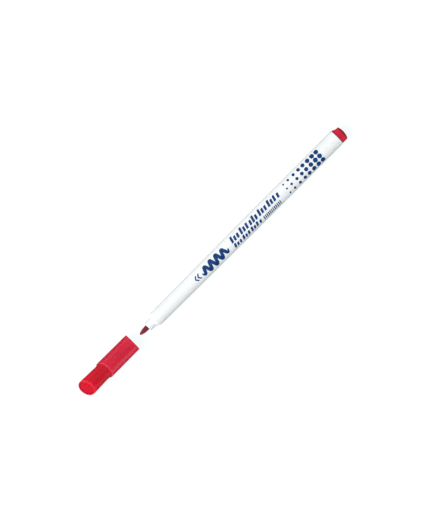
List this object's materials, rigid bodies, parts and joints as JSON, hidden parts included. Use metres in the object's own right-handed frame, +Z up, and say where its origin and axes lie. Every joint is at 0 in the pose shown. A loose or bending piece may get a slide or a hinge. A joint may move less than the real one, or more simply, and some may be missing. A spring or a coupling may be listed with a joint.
{
  "type": "whiteboard marker",
  "caption": "Slim round whiteboard marker with a bullet nib, end plug and a pull-off ventilated cap shown pulled off ahead of the nib.",
  "frame": {"origin": "on the surface that the marker lies on, under the middle of its length with the cap pulled off", "axes": "+X along the marker's axis from the cap's closed end to the end plug, +Z up from the surface, +Y to the side of the end plug's thumbnail notch"},
  "size_m": [0.1806, 0.0098, 0.0097],
  "materials": {
    "barrel_white": "satin",
    "holder_white": "satin",
    "nib_red": "matte",
    "reservoir_fibre": "matte",
    "wrap_film": "gloss",
    "plug_red": "gloss",
    "cap_red": "gloss",
    "inner_cap_red": "gloss",
    "print_blue": "satin"
  },
  "bodies": {
    "barrel_body": {"barrel": "barrel_white", "nib_holder": "holder_white", "nib": "nib_red", "ink_reservoir": "reservoir_fibre", "reservoir_wrap": "wrap_film", "end_plug": "plug_red"},
    "cap": {"cap_sleeve": "cap_red", "inner_cap": "inner_cap_red"}
  },
  "joints": [
    {"name": "cap_slide", "type": "slide", "parent": "barrel_body", "child": "cap", "axis": [1, 0, 0], "range_m": [0, 0.0295]}
  ]
}
